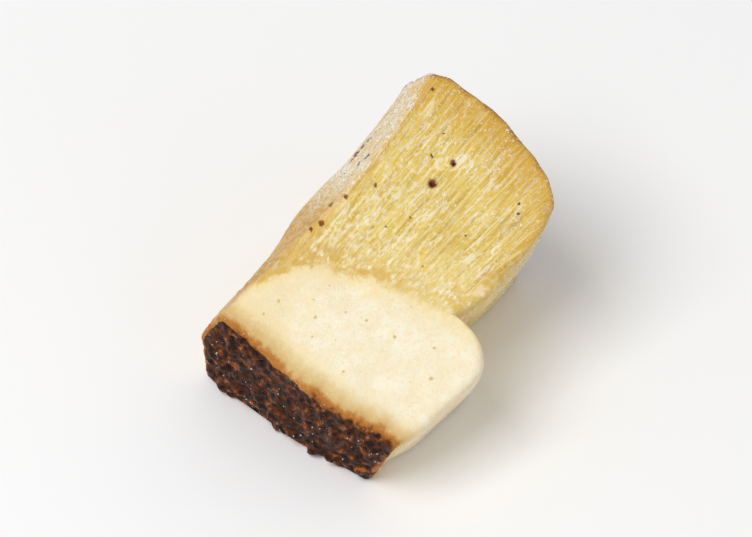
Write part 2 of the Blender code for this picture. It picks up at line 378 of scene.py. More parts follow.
@dataclass(frozen=True)
class Relief:
    """The fine surface: opened tubes, cells at their roots, insect holes, wrinkled skin and pores."""

    tube_pitch: float = 0.86
    tube_depth: float = 0.13
    tube_start: float = 1.6
    tube_length: float = 4.2
    tube_sway: Ripples = ((0.05, 2.2, 1.0),)
    tube_bend: Ripples = ((0.12, 7.0, 5.0),)
    tube_shift: float = 1.37
    tube_closes: Pair = (-0.35, 0.3)
    near_pores: Pair = (0.4, 2.0)
    fibre: float = 0.03
    fibre_size: float = 0.24
    fibre_stretch: float = 14.0
    cell_size: float = 0.7
    cell_depth: float = 0.13
    cell_stretch: float = 1.5
    cell_rim: Pair = (0.05, 0.5)
    cell_reach: Pair = (2.0, 5.0)
    cells_cover: float = 0.75
    holes: Spots = ((9.7, -2.4, 0.5), (12.9, -2.2, 0.32))
    hole_depth: float = 0.5
    hole_floor: float = -1.5
    hole_rim: Pair = (0.25, 1.1)
    hole_fray: Ripples = ((0.5, 0.45, 6.0),)
    pore_size: float = 0.85
    pore_depth: float = 0.8
    pore_rim: Pair = (0.06, 0.42)
    pore_sway: Ripples = ((0.2, 1.7, 5.0),)
    pore_rims: Ripples = ((0.05, 0.4, 1.0),)
    pore_border: float = 0.35
    skin_border: float = 0.7
    near_skin: Pair = (0.2, 1.4)
    wrinkle_size: float = 2.1
    wrinkle: float = 0.7
    wrinkle_base: float = 0.35
    crust: Ripples = ((0.2, 0.75, 3.0), (0.06, 0.33, 7.0))
    edge_crust: Ripples = ((0.12, 0.55, 9.0),)
    edge_rise: float = 0.05
    flesh_grain: Ripples = ((0.02, 0.5, 4.0),)
    crumbs: Ripples = ((0.12, 1.6, 2.0), (0.07, 0.6, 8.0))
    clearance: float = 0.8

    def opened(self, along: Array, girth: Array) -> Array:
        """How far the knife laid each tube open, from 0 on a tube's wall to 1 in its middle.

        Args:
            along: Places along the tubes.
            girth: Places round the piece.

        Returns:
            The openness.
        """
        sway = ripples(self.tube_sway, along / 3, girth) + ripples(self.tube_bend, along / 2, girth)
        turn = (girth + sway) / self.tube_pitch
        tube = np.round(turn)
        reach = lumps(1.0, along / self.tube_length, tube * self.tube_shift, 0.5)
        return np.cos(math.pi * (turn - tube)) ** 2 * ease(reach, *self.tube_closes)

    def cell_domes(self, along: Array, girth: Array) -> Array:
        """Rounded cells of young tubes, from 0 between them to 1 on them."""
        return ease(sample(from_wall, self.cell_size, along / self.cell_stretch, girth, 2.0), *self.cell_rim)

    def hole(self, along: Array, across: Array, depth: Array) -> Array:
        """Small insect holes in the cut face, from 0 outside to 1 at the bottom.

        Args:
            along: Places along the tubes.
            across: Places across the cut face.
            depth: Depths below it.

        Returns:
            The holes.
        """
        ragged = 1 + ripples(self.hole_fray, along, across)
        gaps = [np.hypot(along - hole[0], across - hole[1]) / (hole[2] * ragged) for hole in self.holes]
        return np.where(depth > self.hole_floor, 1 - ease(np.min(gaps, axis=0), *self.hole_rim), 0.0)

    def skin_height(self, across: Array, depth: Array) -> Array:
        """How far the dry, wrinkled skin stands out."""
        folds = np.abs(lumps(self.wrinkle_size, across, depth, self.wrinkle_size)) * 2 - self.wrinkle_base
        return self.wrinkle * folds + ripples(self.crust, across, depth)

    def pore_pits(self, across: Array, depth: Array) -> Array:
        """Mouths of the tubes, from 0 on their rims to 1 in the pits."""
        sway = ripples(self.pore_sway, across, depth)
        return ease(sample(from_wall, self.pore_size, across + sway, depth - sway, 0.0), *self.pore_rim)


@dataclass
class PorciniBody:
    """The piece itself, as one closed mesh with the fields that its finish reads.

    Frost says how thickly it lies on each side, and dry how much the side belongs to the older, drier cuts.
    """

    form: Form = Form()
    weave: Weave = Weave()
    relief: Relief = Relief()
    frost: tuple[float, ...] = (0.14, 0.25, 0.0, 0.25, 0.4)
    skin_frost: float = 0.07
    pore_frost: float = 0.25
    frost_reach: Pair = (-1.0, 10.0)
    frost_lean: float = 0.3
    least_frost: float = 0.08
    frost_drifts: tuple[Pair, ...] = ((0.5, 2.6), (0.3, 0.9))  # each one's thickness and size
    thickest_drift: float = 1.8
    dry: tuple[float, ...] = (0.0, 0.3, 0.3, 0.4, 1.0)
    end_split: float = 4.0
    on_skin: float = -2.0
    girth: Array = field(init=False)
    places: Array = field(init=False)
    cover: Array = field(init=False)
    triangles: Array = field(init=False)

    def __post_init__(self) -> None:
        """Lays out the columns and rows."""
        self.side, self.share, self.bend, self.column = self.weave.column_plan()
        self.zone, self.reach = self.weave.row_plan()
        self.shape = (len(self.zone), len(self.side))
        self.wall_count = len(self.zone) * len(self.side)

    def row_places(self, across: Array, depth: Array) -> tuple[Array, Array, Array]:
        """Where each row passes the given places.

        Args:
            across: Places across the cut face, as (rows, columns).
            depth: Depths below it.

        Returns:
            Along, the cut face's right edge and the walls' inset.
        """
        form = self.form
        skin, neck, pores = form.skin(across, depth), form.neck(across, depth), form.pores(across, depth)
        zone, share = self.zone[:, None], self.reach[:, None]
        turn, lean = share * math.pi / 2, form.ledge_lean
        flesh_end = neck - form.shoulder * np.minimum(1.0, (neck - skin) / (2 * form.shoulder))
        flesh_start, tube_end = skin + form.skin_edge, pores - form.pore_edge
        stretches = (
            skin + form.skin_edge * (1 - np.cos(turn)),
            flesh_start + (flesh_end - flesh_start) * share,
            flesh_end + (neck - flesh_end) * (lean * share + (1 - lean) * np.sin(turn)),
            neck,
            neck + (tube_end - neck) * share,
            tube_end + form.pore_edge * np.sin(turn),
        )
        along = np.choose(zone, stretches)
        flesh, tubes = smooth_line(form.flesh_right, along), smooth_line(form.tube_right, along)
        narrow, wide = form.tube_right[0][1], form.flesh_right[-1][1]
        ledge = narrow + (wide - narrow) * np.cos(turn)
        right = np.choose(zone, (flesh, flesh, ledge, tubes, tubes, tubes))
        skin_inset, pore_inset = form.skin_edge * (1 - np.sin(turn)), form.pore_edge * (1 - np.cos(turn))
        return along, right, np.choose(zone, (skin_inset, 0.0, 0.0, 0.0, 0.0, pore_inset))

    def section_points(self, corners: Array) -> Array:
        """Where each column passes its row's cross-section, whose corners it rounds.

        Args:
            corners: The section's corners.

        Returns:
            Across and depth there.
        """
        count = len(Side)
        rows, columns = np.indices(self.shape)
        here, there, beyond = (corners[:, (self.side + k) % count, rows, columns] for k in range(3))
        cut = np.array(self.form.corner_cut)
        cut_here, cut_there = cut[self.side], cut[(self.side + 1) % count]
        way = (there - here) / np.linalg.norm(there - here, axis=0)
        onward = (beyond - there) / np.linalg.norm(beyond - there, axis=0)
        start, end = here + way * cut_here, there - way * cut_there
        point = start + (end - start) * self.share
        first = point + (there - point) * self.bend
        second = there + onward * cut_there * self.bend
        return first + (second - first) * self.bend

    def girth_at(self, along: Array, across: Array) -> Array:
        """Places round the piece. On the cut face the fibres run straight and fan out a little.

        Args:
            along: Places along the tubes, as (rows, columns).
            across: Places across the cut face.

        Returns:
            The places round it.
        """
        weave, place = self.weave, self.column
        flat = across / (1 + weave.fan * (along - weave.fan_middle))
        on_face = (self.side == Side.FACE.value) & (self.bend == 0)
        last = int(np.flatnonzero(on_face)[-1])
        rightwards = flat[:, last, None] + (place - place[last])
        around = place[-1] + weave.corner_width / (weave.bends + 1)
        leftwards = flat[:, 0, None] + (place - around)
        return np.where(on_face, flat, np.where(self.side <= Side.FOOT.value, rightwards, leftwards))

    def rise(self, along: Array, across: Array, depth: Array) -> tuple[Array, Array]:
        """How far the walls' fine surface stands out. It fades towards the table and is flat on it.

        Args:
            along: Places along the tubes, as (rows, columns).
            across: Places across the cut face.
            depth: Depths below it.

        Returns:
            The distances, and the openness of tubes, cells and holes as (3, rows, columns).
        """
        form, relief, girth = self.form, self.relief, self.girth
        from_root = along - form.root(across, depth)
        in_tubes = ease(from_root, 0.0, relief.tube_start)
        young = 1 - ease(from_root, *relief.cell_reach)
        opened = relief.opened(along, girth) * in_tubes * (1 - relief.cells_cover * young)
        opened *= ease(form.pores(across, depth) - along, *relief.near_pores)
        domes = relief.cell_domes(along, girth) * in_tubes * young
        holes = relief.hole(along, across, depth)
        near_skin = 1 - ease(along - form.skin(across, depth), *relief.near_skin)
        on_strip = (self.side == Side.BEVEL.value) & (self.bend == 0) & (self.share > 0) & (self.share < 1)
        rise = form.wave((along, across, depth))
        rise += relief.fibre * in_tubes * lumps(relief.fibre_size, along / relief.fibre_stretch, girth, 3.0)
        rise += near_skin * (ripples(relief.edge_crust, along, girth) + relief.edge_rise)
        rise += (1 - in_tubes) * ripples(relief.flesh_grain, along, girth)
        rise += on_strip * ripples(relief.crumbs, along, girth)
        rise += relief.cell_depth * (domes - 0.5 * in_tubes * young)
        rise -= relief.tube_depth * opened + relief.hole_depth * holes
        rise *= np.clip(form.above_table((along, across, depth)) / relief.clearance, 0.0, 1.0)
        return rise * (self.side != Side.FOOT.value), np.array((opened, domes, holes))

    def walls(self) -> tuple[Array, Array]:
        """The walls with their relief.

        Returns:
            Their places, and the openness of tubes, cells and holes there, as (3, rows, columns).
        """
        section = np.array((np.zeros(self.shape), np.full(self.shape, -self.form.bevel_depth)))
        for _ in range(self.weave.rounds):
            along, right, inset = self.row_places(*section)
            section = self.section_points(self.form.corners(along, right, inset))
        self.girth = self.girth_at(along, section[0])
        rise, opened = self.rise(along, *section)
        step = np.roll(section, -1, axis=2) - np.roll(section, 1, axis=2)
        section += np.array((-step[1], step[0])) / np.hypot(*step) * rise
        along[0] = self.form.skin(*section[:, 0])
        along[-1] = self.form.pores(*section[:, -1])
        return np.array((along, *section)), opened

    def end(self, ring: Array, ring_first: int, first: int) -> tuple[Array, Array, Array]:
        """The skin over the first row, or the pores over the last one.

        Args:
            ring: The row's places.
            ring_first: The number of the row's first point, which is 0 at the skin.
            first: The number of the end's first point.

        Returns:
            The end's places, the openness of the pores there and triangles that close the end.
        """
        form, weave, relief = self.form, self.weave, self.relief
        if ring_first:
            (across, depth), gap = weave.lattice(ring[1:], weave.pore_pitch)
            pits = relief.pore_pits(across, depth) * ease(gap, 0.0, relief.pore_border)
            rims = ripples(relief.pore_rims, across, depth)
            along = form.pores(across, depth) - relief.pore_depth * pits + rims
        else:
            (across, depth), gap = weave.lattice(ring[1:], weave.skin_pitch)
            pits = np.zeros_like(gap)
            height = relief.skin_height(across, depth) * ease(gap, 0.0, relief.skin_border)
            along = form.skin(across, depth) - height
        places = np.array((along, across, depth))
        count = ring.shape[1]
        flat = [Vector(place) for place in np.hstack((ring, places))[1:].T.tolist()]
        loop = [(i, (i + 1) % count) for i in range(count)]
        _, _, faces, sources, _, _ = delaunay_2d_cdt(flat, loop, [], 1, weave.same_place)
        numbers = np.concatenate((ring_first + np.arange(count), first + np.arange(len(gap))))
        return places, pits, numbers[[source[0] for source in sources]][np.array(faces)]

    def build(self) -> Object:
        """Makes the mesh, its fields and its object.

        Returns:
            The object, without its finish.
        """
        count, columns = self.wall_count, self.shape[1]
        walls, opened = self.walls()
        skin, no_pits, skin_faces = self.end(walls[:, 0], 0, count)
        pores, pits, pore_faces = self.end(walls[:, -1], count - columns, count + len(no_pits))
        self.places = np.hstack((walls.reshape(3, -1), skin, pores))
        here = np.arange(count).reshape(self.shape)
        after = np.roll(here, -1, axis=1)
        quads = np.stack((here[:-1], after[:-1], after[1:], here[1:]), axis=-1).reshape(-1, 4)
        ends = np.concatenate((skin_faces, pore_faces[:, ::-1]))
        self.triangles = np.concatenate((quads[:, (0, 1, 2)], quads[:, (0, 2, 3)], ends))
        points = self.form.world(self.places) * MM
        points[:, 2] = np.maximum(points[:, 2], 0.0)
        body = add_mesh("porcini_body", points, quads.tolist() + ends.tolist())
        flat = np.zeros_like(self.places)
        flat[:, :count] = opened.reshape(3, -1)
        flat[0, count:] = np.concatenate((no_pits, pits))
        self.store_fields(body.data, flat)
        return body

    def store_fields(self, mesh: Mesh, opened: Array) -> None:
        """Gives the mesh the fields that its finish reads, in millimetres and shares.

        Args:
            mesh: The mesh.
            opened: The openness of tubes, cells and holes at each point.
        """
        count, rows = self.wall_count, len(self.zone)
        along, across, depth = self.places
        girth, dry, none = across.copy(), np.zeros_like(along), np.zeros_like(along)
        girth[:count] = self.girth.ravel()
        from_skin = along - self.form.skin(across, depth)
        from_skin[count:] = np.where(from_skin[count:] < self.end_split, self.on_skin, from_skin[count:])
        by_side = np.array(self.dry)
        here, after = by_side[self.side], by_side[(self.side + 1) % len(Side)]
        dry[:count] = np.tile(here + (after - here) * self.bend, rows)
        self.cover = self.frost_cover()
        fields = {
            "fibre": (along, girth, none),
            "layers": (
                from_skin, along - self.form.root(across, depth), self.form.pores(across, depth) - along,
            ),
            "opened": opened,
            "cover": (self.cover, dry, none),
        }
        for name, parts in fields.items():
            attribute = mesh.attributes.new(name, "FLOAT_VECTOR", "POINT")
            attribute.data.foreach_set("vector", np.array(parts, np.float32).T.ravel())

    def frost_cover(self) -> Array:
        """How thickly frost lies on each point, from 0 to 1: more towards the pores, and in drifts.

        Returns:
            The cover.
        """
        walls, least = slice(self.wall_count), self.least_frost
        along, across, depth = self.places
        cover = np.where(along < 0, self.skin_frost, self.pore_frost)
        reach = ease(along[walls] - self.frost_lean * across[walls], *self.frost_reach)
        sides = np.tile(np.array(self.frost)[self.side], len(self.zone))
        cover[walls] = sides * (reach * (1 - least) + least)
        drift = sum((thick * lumps(size, *self.places) for thick, size in self.frost_drifts), 0.5)
        return np.clip(cover * np.clip(drift * 2, 0.0, self.thickest_drift), 0.0, 1.0)


class Sheet:
    """One material's node tree, with short calls for the nodes that the finishes share.

    Its maps are numbers that vary over the surface, by their names.
    """

    SPECK_CORE = 0.6  # the share of a speck's radius in which it is full
    SPOT_CORE = 0.4  # the same for a spot

    def __init__(self, name: str) -> None:
        """Makes the material with an empty Principled shader."""
        self.material, self.maps = bpy.data.materials.new(name), {}
        self.material.use_nodes = True

    @cached_property
    def place(self) -> Socket:
        """The place on the object in millimetres."""
        return self.vector("MULTIPLY", self.node("ShaderNodeTexCoord", {})["Object"], (1 / MM,) * 3)[0]

    def feed(self, node: Node, inputs: dict[str | int, Value]) -> None:
        """Links or sets a node's inputs.

        Args:
            node: The node.
            inputs: A socket to link or a value to set for each input, by its name or number.
        """
        for name, value in inputs.items():
            if isinstance(value, Socket):
                self.material.node_tree.links.new(value, node.inputs[name])
            else:
                node.inputs[name].default_value = value

    def node(self, kind: str, inputs: dict[str | int, Value], **settings: str) -> NodeOutputs:
        """A new node.

        Args:
            kind: Its kind.
            inputs: What its inputs are fed.
            settings: Its settings.

        Returns:
            Its outputs.
        """
        node = self.material.node_tree.nodes.new(kind)
        for name, value in settings.items():
            setattr(node, name, value)
        self.feed(node, inputs)
        return node.outputs

    def vector(self, operation: str, *values: Value) -> NodeOutputs:
        """The outputs of one operation on vectors."""
        return self.node("ShaderNodeVectorMath", dict(enumerate(values)), operation=operation)

    def math(self, operation: str, *values: Value) -> Value:
        """Numbers joined one after another by an operation."""
        return reduce(
            lambda one, two: self.node("ShaderNodeMath", {0: one, 1: two}, operation=operation)[0], values
        )

    def plus(self, *values: Value) -> Value:
        """The sum of some numbers."""
        return self.math("ADD", *values)

    def less(self, *values: Value) -> Value:
        """The first number less the others."""
        return self.math("SUBTRACT", *values)

    def times(self, *values: Value) -> Value:
        """The product of some numbers."""
        return self.math("MULTIPLY", *values)

    def step(self, value: Value, low: float, high: float, start: float = 0.0, end: float = 1.0) -> Socket:
        """A smooth step over a number, from start where it is low to end where it is high."""
        inputs = {"Value": value, "From Min": low, "From Max": high, "To Min": start, "To Max": end}
        return self.node("ShaderNodeMapRange", inputs, interpolation_type="SMOOTHSTEP")[0]

    def share(self, *steps: Step) -> Value:
        """The product of smooth steps over the maps that they name. A name alone is its whole map."""
        values = (self.step(self.maps[name], *ends) if ends else self.maps[name] for name, *ends in steps)
        return self.times(*values)

    def mix(self, below: Value, colour: Value, share: Value) -> Socket:
        """A colour over another one, by its share from 0 to 1."""
        return self.node("ShaderNodeMix", {0: share, 6: below, 7: colour}, data_type="RGBA")[2]

    def coat(self, below: Value, colour: Value, *steps: Step) -> Socket:
        """A colour over another one, by the product of some steps."""
        return self.mix(below, colour, self.share(*steps))

    def coats(self, colour: Value, coats: Coats) -> Value:
        """Coats of colour over a first one, from the lowest to the topmost."""
        return reduce(lambda below, coat: self.coat(below, *coat), coats, colour)

    def parts(self, vector: Socket) -> tuple[Socket, ...]:
        """The three parts of a vector."""
        return tuple(self.node("ShaderNodeSeparateXYZ", {0: vector}))

    def cloud(self, size: float, detail: float = 3.0, vector: Value | None = None) -> Socket:
        """Soft noise around 0.5, by the size of its lumps and its finer layers, at the place or a vector."""
        inputs = {"Vector": vector or self.place, "Scale": 1 / size, "Detail": detail}
        return self.node("ShaderNodeTexNoise", inputs)["Fac"]

    def swing(self, size: float, detail: float = 3.0) -> Value:
        """Soft noise around 0."""
        return self.less(self.cloud(size, detail), 0.5)

    def jostled(self, vector: Value, size: float, reach: float) -> Socket:
        """The vector moved a little by noise, which makes outlines ragged.

        Args:
            vector: The vector.
            size: The noise's size.
            reach: How far it moves the vector.

        Returns:
            The moved vector.
        """
        colour = self.node("ShaderNodeTexNoise", {"Vector": vector, "Scale": 1 / size})["Color"]
        centred = self.vector("SUBTRACT", colour, (0.5, 0.5, 0.5))[0]
        return self.vector("MULTIPLY_ADD", centred, (2 * reach, 2 * reach, 0.0), vector)[0]

    def specks(self, vector: Value, spacing: float, radius: float, share: float) -> Value:
        """Spots, 1 inside and 0 outside, in a share of the cells of a spacing. Their radius is in cells."""
        cells = self.node("ShaderNodeTexVoronoi", {"Vector": vector, "Scale": 1 / spacing})
        return self.times(
            self.math("LESS_THAN", self.parts(cells["Color"])[0], share),
            self.step(cells["Distance"], radius * self.SPECK_CORE, radius, 1.0, 0.0),
        )

    def spots(self, vector: Value, places: Spots) -> Value:
        """Spots at given places.

        Args:
            vector: Where to read them.
            places: The spots.

        Returns:
            A number that is 1 in their middle and 0 outside.
        """
        gaps = [(self.vector("DISTANCE", vector, (x, y, 0.0))["Value"], end) for x, y, end in places]
        spots = (self.step(gap, end * self.SPOT_CORE, end, 1.0, 0.0) for gap, end in gaps)
        return self.math("MAXIMUM", *spots)

    def bump(self, height: Value, depth: float) -> Socket:
        """A fine surface, from its height of 0 to 1 and its depth in millimetres."""
        return self.node("ShaderNodeBump", {"Strength": 1.0, "Distance": depth * MM, "Height": height})[0]

    def finish(self, inputs: dict[str, Value]) -> Material:
        """The material, once its shader is fed."""
        self.feed(self.material.node_tree.nodes["Principled BSDF"], inputs)
        return self.material


class PorciniSheet(Sheet):
    """The porcini's nodes, with the fields of its mesh as maps. Lengths are in millimetres."""

    def __init__(self) -> None:
        """Reads the fields."""
        super().__init__("porcini")
        fields = {name: self.node("ShaderNodeAttribute", {}, attribute_name=name)["Vector"] for name in MAPS}
        for name, vector in fields.items():
            self.maps.update(zip(MAPS[name], self.parts(vector)))
        self.flat = fields["fibre"]

    def add_clouds(self, clouds: Clouds) -> None:
        """Adds soft noises to the maps. Those with a pace above 0 are drawn out along the tubes."""
        for name, *look, pace in clouds:
            vector = self.vector("MULTIPLY", self.flat, (pace, 1.0, 1.0))[0] if pace else None
            self.maps[name] = self.cloud(*look, vector)

    def add_masks(self, masks: Masks) -> None:
        """Adds products of steps to the maps."""
        for name, *steps in masks:
            self.maps[name] = self.share(*steps)


@dataclass(frozen=True)
class FleshFinish:
    """Cream flesh, peachy near the left edge and the skin, with a few ochre specks."""

    cream: Colour = srgb(247, 235, 202)
    milky: Colour = srgb(250, 242, 217)
    peach: Colour = srgb(243, 220, 170)
    under_skin: Colour = srgb(238, 212, 154)
    speck: Colour = srgb(206, 170, 96)
    drift: float = 6.0
    clouds: Clouds = (("flesh_drift", 5, 2, 0), ("milk", 1.5, 4, 0), ("flesh_grain", 0.42, 3, 0))
    coats: Coats = (
        (milky, ("milk", 0.42, 0.66)),
        (peach, ("from_left", -6, 3, 0.6, 0)),
        (under_skin, ("below_skin", 1.6, 5, 0.75, 0)),
        (peach, ("flesh_grain", 0.5, 0.68, 0, 0.45)),
    )
    scattered: Place = (1.7, 0.09, 0.2)  # the specks' spacing, radius and share of the cells
    scattered_fray: Pair = (0.3, 0.25)
    placed_fray: Pair = (0.3, 0.2)
    speck_share: float = 0.75
    specks: Spots = (
        (-9.6, -2.6, 0.27), (-7.1, -0.1, 0.18), (-6.3, 2.5, 0.26), (-5.7, 6.5, 0.26), (-3.9, 10.8, 0.24),
        (-6.6, 13.4, 0.34), (-11.4, -1.2, 0.18), (-12.1, 5.0, 0.2), (-12.9, -8.2, 0.2),
        (-10.8, -7.7, 0.3), (-10.1, 1.4, 0.16),
    )

    def colour(self, sheet: PorciniSheet) -> Value:
        """The flesh's colour.

        Args:
            sheet: The material's nodes.

        Returns:
            The colour.
        """
        maps = sheet.maps
        sheet.add_clouds(self.clouds)
        maps["from_left"] = sheet.plus(maps["girth"], sheet.times(maps["flesh_drift"], self.drift))
        maps["below_skin"] = sheet.plus(maps["from_skin"], maps["flesh_drift"])
        colour = sheet.coats(self.cream, self.coats)
        scattered = sheet.specks(sheet.jostled(sheet.place, *self.scattered_fray), *self.scattered)
        placed = sheet.spots(sheet.jostled(sheet.flat, *self.placed_fray), self.specks)
        specks = sheet.math("MAXIMUM", scattered, placed)
        return sheet.mix(colour, self.speck, sheet.times(specks, self.speck_share))


@dataclass(frozen=True)
class TubeFinish:
    """Cut tubes: ochre inside, with pale dashes along them, grainy at their roots and golden at the pores."""

    young: Colour = srgb(234, 208, 138)
    ochre: Colour = srgb(226, 196, 94)
    golden: Colour = srgb(210, 163, 54)
    inside: Colour = srgb(192, 153, 55)
    blotch: Colour = srgb(206, 158, 70)
    edge: Colour = srgb(220, 172, 82)
    light: Colour = srgb(245, 225, 154)
    dash: Colour = srgb(250, 242, 216)
    grain: Colour = srgb(249, 240, 212)
    rim: Colour = srgb(156, 98, 34)
    pores: Colour = srgb(190, 150, 74)
    speck: Colour = srgb(116, 46, 20)
    hole: Colour = srgb(100, 38, 16)
    yellow: Colour = srgb(240, 200, 66)
    clouds: Clouds = (
        ("tube_drift", 4, 2, 0.5), ("blotches", 1.5, 3, 1), ("threads", 0.27, 2, 0.06),
        ("patches", 2.4, 3, 0.5), ("dashes", 0.42, 3, 0.17), ("bits", 0.34, 3, 0.7),
        ("root_grain", 0.5, 4, 0.7), ("rim_wander", 0.6, 2, 1), ("mouths", 1.8, 3, 1),
    )
    drift: float = 7.0
    rim_wander: float = 0.9
    masks: Masks = (
        ("left", ("girth", -9.4, -7.6, 1, 0)),
        # right: painted shade, a darker golden band where the cut face's right edge rounds away from the
        # light, fading out down the right wall
        ("right", ("girth", 7.2, 9.4, 0, 0.55), ("girth", 11, 15, 1, 0.3)),
        (
            "pale", ("from_pores", 0.5, 7, 0.15, 0.85), ("patches", 0.38, 0.62, 0.3, 1),
            # fewer pale dashes in the painted shade at the right edge
            ("left", 0, 1, 1, 0.35), ("right", 0, 0.55, 1, 0.5),
        ),
        ("near_root", ("from_root", 1, 8, 0.85, 0)),
        ("beside", ("girth", -4.8, -2.6, 0.6, 0), ("from_root", 8, 14, 1, 0)),
    )
    coats: Coats = (
        (ochre, ("grown", 4, 11)),
        (golden, ("ripe", 3, 12, 1, 0)),
        (
            blotch, ("blotches", 0.4, 0.6, 0, 0.8), ("girth", -8, 1, 1, 0),
            ("from_root", 2.5, 6, 1, 0),
        ),
        # painted shade: the darker golden band along the cut face's right edge
        (golden, ("right",)),
        (edge, ("girth", -9.4, -7.6, 0.6, 0)),
        (inside, ("tube", 0.1, 0.9, 0, 0.4)),
        (inside, ("threads", 0.3, 0.46, 0.45, 0)),
        (light, ("threads", 0.47, 0.7, 0, 0.65), ("from_pores", 0.5, 6, 0.5, 1)),
        (dash, ("dashes", 0.51, 0.64, 0, 0.9), ("pale",)),
        (grain, ("bits", 0.5, 0.64, 0, 0.7), ("pale",)),
        (grain, ("root_grain", 0.47, 0.62), ("grainy",), ("left", 0, 1, 1, 0.2)),
        (ochre, ("dome", 0, 0.4, 0.6, 0), ("from_root", 2, 5, 1, 0)),
    )
    at_mouths: Step = ("mouths", 0.38, 0.62)
    at_rim: Step = ("from_rim", 0.45, 1.5, 0.85, 0)
    in_holes: Step = ("hole", 0.35, 0.9)
    spot_fray: Pair = (0.35, 0.3)
    yellow_share: float = 0.7
    yellow_spots: Spots = ((2.6, 2.3, 0.5), (3.4, 1.8, 0.4), (1.9, 3.4, 0.35))
    speck_share: float = 0.92
    specks: Spots = (
        (9.7, -2.4, 0.72), (12.9, -2.2, 0.46), (12.0, -4.3, 0.26), (17.7, -8.5, 0.32), (16.9, -10.4, 0.2),
        (5.3, -1.8, 0.2), (7.6, 4.0, 0.24), (13.2, 6.3, 0.24), (14.1, 5.6, 0.2), (5.5, -7.1, 0.28),
        (2.8, -3.2, 0.22), (14.7, -4.9, 0.18), (2.1, 2.9, 0.16), (-1.4, -9.3, 0.45), (2.5, -9.0, 0.35),
        (-2.6, -9.9, 0.35), (0.9, -9.9, 0.5), (7.7, -11.3, 0.6), (6.6, -12.0, 0.45), (9.3, -11.9, 0.35),
        (11.2, -16.9, 0.5), (10.2, -17.0, 0.65), (9.2, -17.1, 0.75), (8.1, -17.2, 0.75), (7.2, -17.0, 0.55),
    )

    def colour(self, sheet: PorciniSheet) -> Value:
        """The tubes' own colour.

        Args:
            sheet: The material's nodes.

        Returns:
            The colour.
        """
        maps = sheet.maps
        sheet.add_clouds(self.clouds)
        sheet.add_masks(self.masks)
        drift = sheet.times(maps["tube_drift"], self.drift)
        maps["grown"], maps["ripe"] = (sheet.plus(maps[name], drift) for name in ("from_root", "from_pores"))
        maps["grainy"] = sheet.math("MAXIMUM", maps["near_root"], maps["beside"])
        return sheet.coats(self.young, self.coats)

    def rimmed(self, sheet: PorciniSheet, colour: Value) -> Value:
        """The brown rim at the pores.

        Args:
            sheet: The material's nodes.
            colour: The colour below it.

        Returns:
            The colour.
        """
        maps = sheet.maps
        maps["from_rim"] = sheet.plus(maps["from_pores"], sheet.times(maps["rim_wander"], self.rim_wander))
        return sheet.coat(colour, sheet.coat(self.rim, self.pores, self.at_mouths), self.at_rim)

    def spotted(self, sheet: PorciniSheet, colour: Value) -> Value:
        """The yellow spot, the dark specks and the holes, which no frost covers.

        Args:
            sheet: The material's nodes.
            colour: The colour below them.

        Returns:
            The colour.
        """
        place = sheet.jostled(sheet.flat, *self.spot_fray)
        yellow, dark = sheet.spots(place, self.yellow_spots), sheet.spots(place, self.specks)
        colour = sheet.mix(colour, self.yellow, sheet.times(yellow, self.yellow_share))
        colour = sheet.mix(colour, self.speck, sheet.times(dark, self.speck_share))
        return sheet.coat(colour, self.hole, self.in_holes)


@dataclass(frozen=True)
class SkinFinish:
    """Dried brown cap skin that fades through tan into the flesh."""

    black: Colour = srgb(32, 12, 4)
    dark: Colour = srgb(78, 37, 13)
    brown: Colour = srgb(124, 64, 20)
    rust: Colour = srgb(182, 116, 44)
    tan: Colour = srgb(215, 181, 116)
    ember: Colour = srgb(196, 110, 40)
    wander: float = 2.0
    wander_noise: Pair = (4.0, 2.0)
    fray: float = 1.3
    fray_noise: Pair = (0.7, 3.0)
    reach: Step = ("girth", 6, 10, 0, 0.55)
    clouds: Clouds = (("mottle", 0.9, 9, 0),)
    fading: Coats = ((tan, ("way", 0.6, 3, 0.95, 0)), (rust, ("way", 0, 1, 1, 0)))
    crust: Coats = (
        (dark, ("mottle", 0.4, 0.53)),
        (brown, ("mottle", 0.52, 0.66)),
        (ember, ("mottle", 0.6, 0.7), ("way", -4, -0.6, 0.25, 1)),
    )
    masks: Masks = (("skin", ("way", -0.6, 0, 1, 0)),)

    def over(self, sheet: PorciniSheet, flesh: Value) -> Value:
        """The skin's colour over the flesh. Its crust reaches further onto the cut face at the right.

        Args:
            sheet: The material's nodes.
            flesh: The colour of the flesh.

        Returns:
            The colour.
        """
        wander = sheet.times(sheet.swing(*self.wander_noise), self.wander)
        fray = sheet.times(sheet.swing(*self.fray_noise), self.fray)
        sheet.maps["way"] = sheet.less(sheet.maps["from_skin"], wander, fray, sheet.share(self.reach))
        sheet.add_clouds(self.clouds)
        sheet.add_masks(self.masks)
        return sheet.coat(sheet.coats(flesh, self.fading), sheet.coats(self.black, self.crust), ("skin",))


